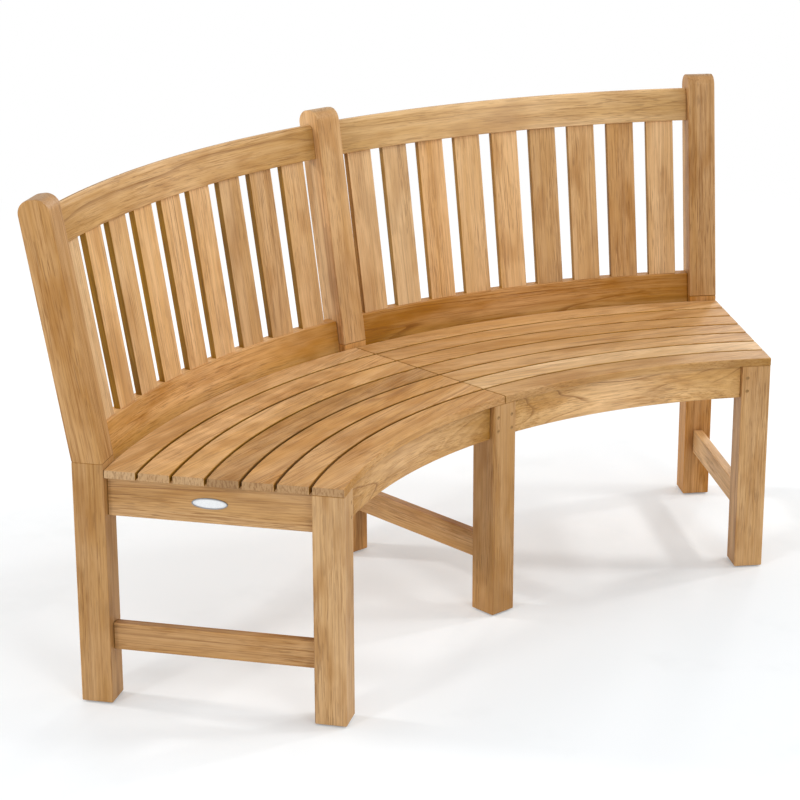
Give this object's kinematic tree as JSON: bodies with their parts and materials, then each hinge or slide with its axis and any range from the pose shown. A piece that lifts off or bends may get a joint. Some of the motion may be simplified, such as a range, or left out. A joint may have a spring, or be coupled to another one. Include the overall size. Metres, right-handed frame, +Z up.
{
  "type": "bench",
  "caption": "Curved teak garden bench on three frames, with slatted seat and raked back of flat upright slats between curved rails.",
  "frame": {"origin": "on the floor, under the middle of the whole bench's bounding box", "axes": "+X to the right as seen from the front, along the bench's width; +Y from the sitter's side to the back, so the seat side faces -Y; +Z up"},
  "size_m": [1.7496, 0.745, 0.914],
  "materials": {
    "teak": "satin",
    "glide": "matte",
    "plate": "satin",
    "screw": "satin"
  },
  "bodies": {
    "root": {"batten_screws": "screw", "end_plate": "plate", "foot_glides": "glide", "left_back_slat_1": "teak", "left_back_slat_2": "teak", "left_back_slat_3": "teak", "left_back_slat_4": "teak", "left_back_slat_5": "teak", "left_back_slat_6": "teak", "left_back_slat_7": "teak", "left_back_slat_8": "teak", "left_back_slat_9": "teak", "left_bottom_back_rail": "teak", "left_end_front_leg": "teak", "left_end_post": "teak", "left_end_rear_leg": "teak", "left_end_stretcher": "teak", "left_front_apron": "teak", "left_rear_apron": "teak", "left_seat_slat_1": "teak", "left_seat_slat_2": "teak", "left_seat_slat_3": "teak", "left_seat_slat_4": "teak", "left_seat_slat_5": "teak", "left_seat_slat_6": "teak", "left_seat_slat_7": "teak", "left_side_apron": "teak", "left_top_back_rail": "teak", "middle_bearer": "teak", "middle_front_leg": "teak", "middle_post": "teak", "middle_rear_leg": "teak", "middle_stretcher": "teak", "right_back_slat_1": "teak", "right_back_slat_2": "teak", "right_back_slat_3": "teak", "right_back_slat_4": "teak", "right_back_slat_5": "teak", "right_back_slat_6": "teak", "right_back_slat_7": "teak", "right_back_slat_8": "teak", "right_back_slat_9": "teak", "right_bottom_back_rail": "teak", "right_end_front_leg": "teak", "right_end_post": "teak", "right_end_rear_leg": "teak", "right_end_stretcher": "teak", "right_front_apron": "teak", "right_rear_apron": "teak", "right_seat_slat_1": "teak", "right_seat_slat_2": "teak", "right_seat_slat_3": "teak", "right_seat_slat_4": "teak", "right_seat_slat_5": "teak", "right_seat_slat_6": "teak", "right_seat_slat_7": "teak", "right_side_apron": "teak", "right_top_back_rail": "teak", "seat_battens": "teak", "wooden_pins": "teak"}
  },
  "joints": []
}
